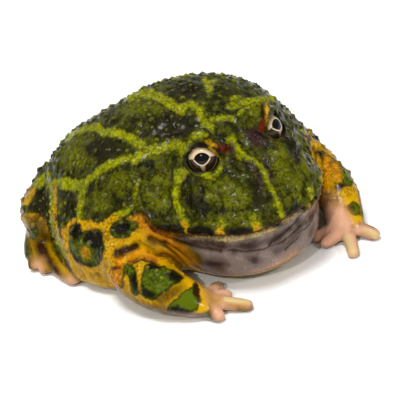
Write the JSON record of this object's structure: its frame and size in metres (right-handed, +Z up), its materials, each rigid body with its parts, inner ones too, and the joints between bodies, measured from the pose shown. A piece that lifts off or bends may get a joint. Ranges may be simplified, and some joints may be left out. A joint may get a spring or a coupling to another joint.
{
  "type": "argentine horned frog",
  "caption": "Still life-size model of a sitting Argentine horned frog, with a wide shut mouth, small horned eyelids and short legs folded at its sides.",
  "frame": {"origin": "on the floor, under the middle of the frog's box", "axes": "+Z up, -Y along the snout, +X to the frog's left"},
  "size_m": [0.106, 0.1052, 0.0471],
  "materials": {
    "back_skin": "wet, warty skin, dark olive green with bright yellow-green lines",
    "throat_skin": "wet skin, grey-purple with darker mottling",
    "limb_skin": "wet skin, orange-yellow with green and black patches",
    "toe_skin": "wet bare skin, pink to orange",
    "eye": "wet, cream and brown iris with a black pupil"
  },
  "bodies": {
    "root": {"head": "back_skin", "lower_jaw": "throat_skin", "trunk": "back_skin", "left_eye": "eye", "left_horned_eyelid": "back_skin", "left_upper_arm": "limb_skin", "left_forearm": "limb_skin", "left_hand": "toe_skin", "left_thigh": "limb_skin", "left_shank": "limb_skin", "left_foot": "toe_skin", "right_eye": "eye", "right_horned_eyelid": "back_skin", "right_upper_arm": "limb_skin", "right_forearm": "limb_skin", "right_hand": "toe_skin", "right_thigh": "limb_skin", "right_shank": "limb_skin", "right_foot": "toe_skin"}
  },
  "joints": []
}
